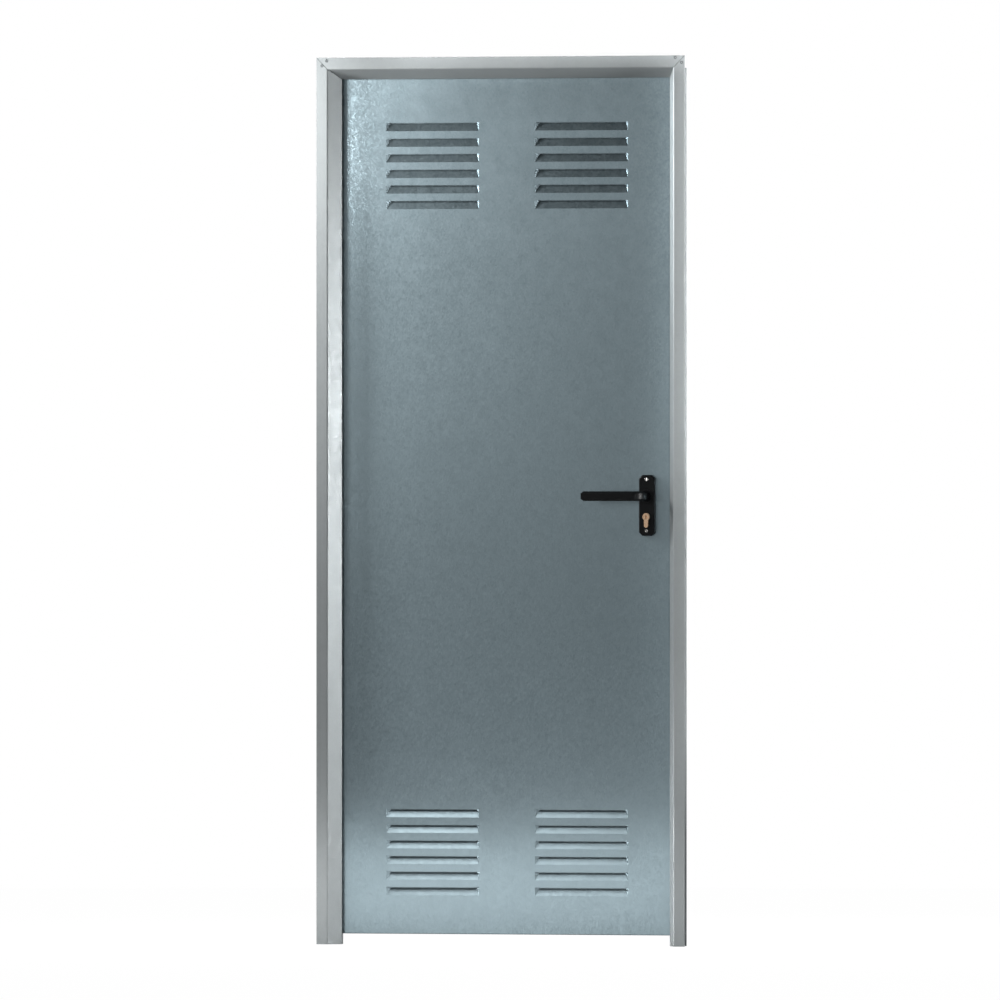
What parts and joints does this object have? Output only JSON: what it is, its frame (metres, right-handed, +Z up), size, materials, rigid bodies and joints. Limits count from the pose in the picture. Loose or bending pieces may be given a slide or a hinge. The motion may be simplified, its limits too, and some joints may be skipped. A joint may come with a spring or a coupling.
{
  "type": "louvred steel utility door in a folded frame",
  "caption": "Galvanised steel utility door with pressed louvre groups, a lever handle and a profile cylinder, hung in a splayed folded steel frame that opens away from the viewer.",
  "frame": {"origin": "foot of the hinge jamb at floor level, on the back of its front flange, where the frame lies against the wall", "axes": "+X along the wall from the hinge side to the lock side, +Y into the wall and the way the leaf opens, +Z up"},
  "size_m": [0.9, 0.165, 2.02],
  "materials": {
    "galvanised_leaf": "galvanised with a faint spangle",
    "galvanised_frame": "galvanised, folded sheet",
    "zinc_steel": "zinc plated",
    "black_plastic": "moulded, satin",
    "brass": "satin"
  },
  "bodies": {
    "frame": {"hinge_jamb": "galvanised_frame", "lock_jamb": "galvanised_frame", "head": "galvanised_frame", "upper_hinge_jamb_half": "zinc_steel", "lower_hinge_jamb_half": "zinc_steel", "upper_hinge_pin": "zinc_steel", "lower_hinge_pin": "zinc_steel"},
    "leaf": {"front_skin": "galvanised_leaf", "rear_skin": "galvanised_leaf", "mortise_lock": "zinc_steel", "latch_bolt": "zinc_steel", "dead_bolt": "zinc_steel", "key_cylinder": "brass", "outer_plug": "brass", "inner_plug": "brass", "outer_plate": "black_plastic", "inner_plate": "black_plastic", "upper_hinge_leaf_half": "zinc_steel", "lower_hinge_leaf_half": "zinc_steel"},
    "lever": {"outer_lever": "black_plastic", "inner_lever": "black_plastic", "spindle": "zinc_steel"}
  },
  "joints": [
    {"name": "leaf_swing", "type": "hinge", "parent": "frame", "child": "leaf", "pos_m": [0.0235, 0.09, 1], "axis": [0, 0, 1], "range_deg": [0, 110]},
    {"name": "lever_turn", "type": "hinge", "parent": "leaf", "child": "lever", "pos_m": [0.781, 0.061, 1.021], "axis": [0, -1, 0], "range_deg": [0, 40], "stiffness_Nm_per_rad": 1.2, "springref_deg": -20.05}
  ]
}
